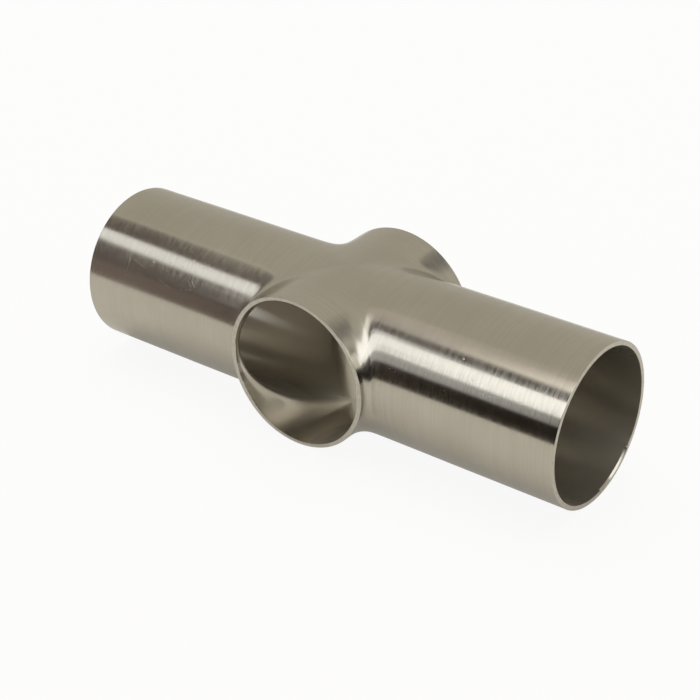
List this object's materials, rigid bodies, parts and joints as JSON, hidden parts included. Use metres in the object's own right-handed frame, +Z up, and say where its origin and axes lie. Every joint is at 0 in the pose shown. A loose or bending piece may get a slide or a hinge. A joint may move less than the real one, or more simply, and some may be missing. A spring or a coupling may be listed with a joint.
{
  "type": "pulled cross fitting",
  "caption": "Short-outlet butt-weld cross for sanitary tubing: a straight stainless run with opposed outlets pulled from its sides on blended, flared necks.",
  "frame": {"origin": "where the run's centre line crosses the outlets' centre line", "axes": "+X along the run, Y along the outlets with -Y to the front one, +Z up with the cross lying on its side"},
  "size_m": [0.1778, 0.056, 0.0508],
  "materials": {
    "brushed_stainless": "satin, brushed round the tube"
  },
  "bodies": {
    "root": {"cross_body": "brushed_stainless"}
  },
  "joints": []
}
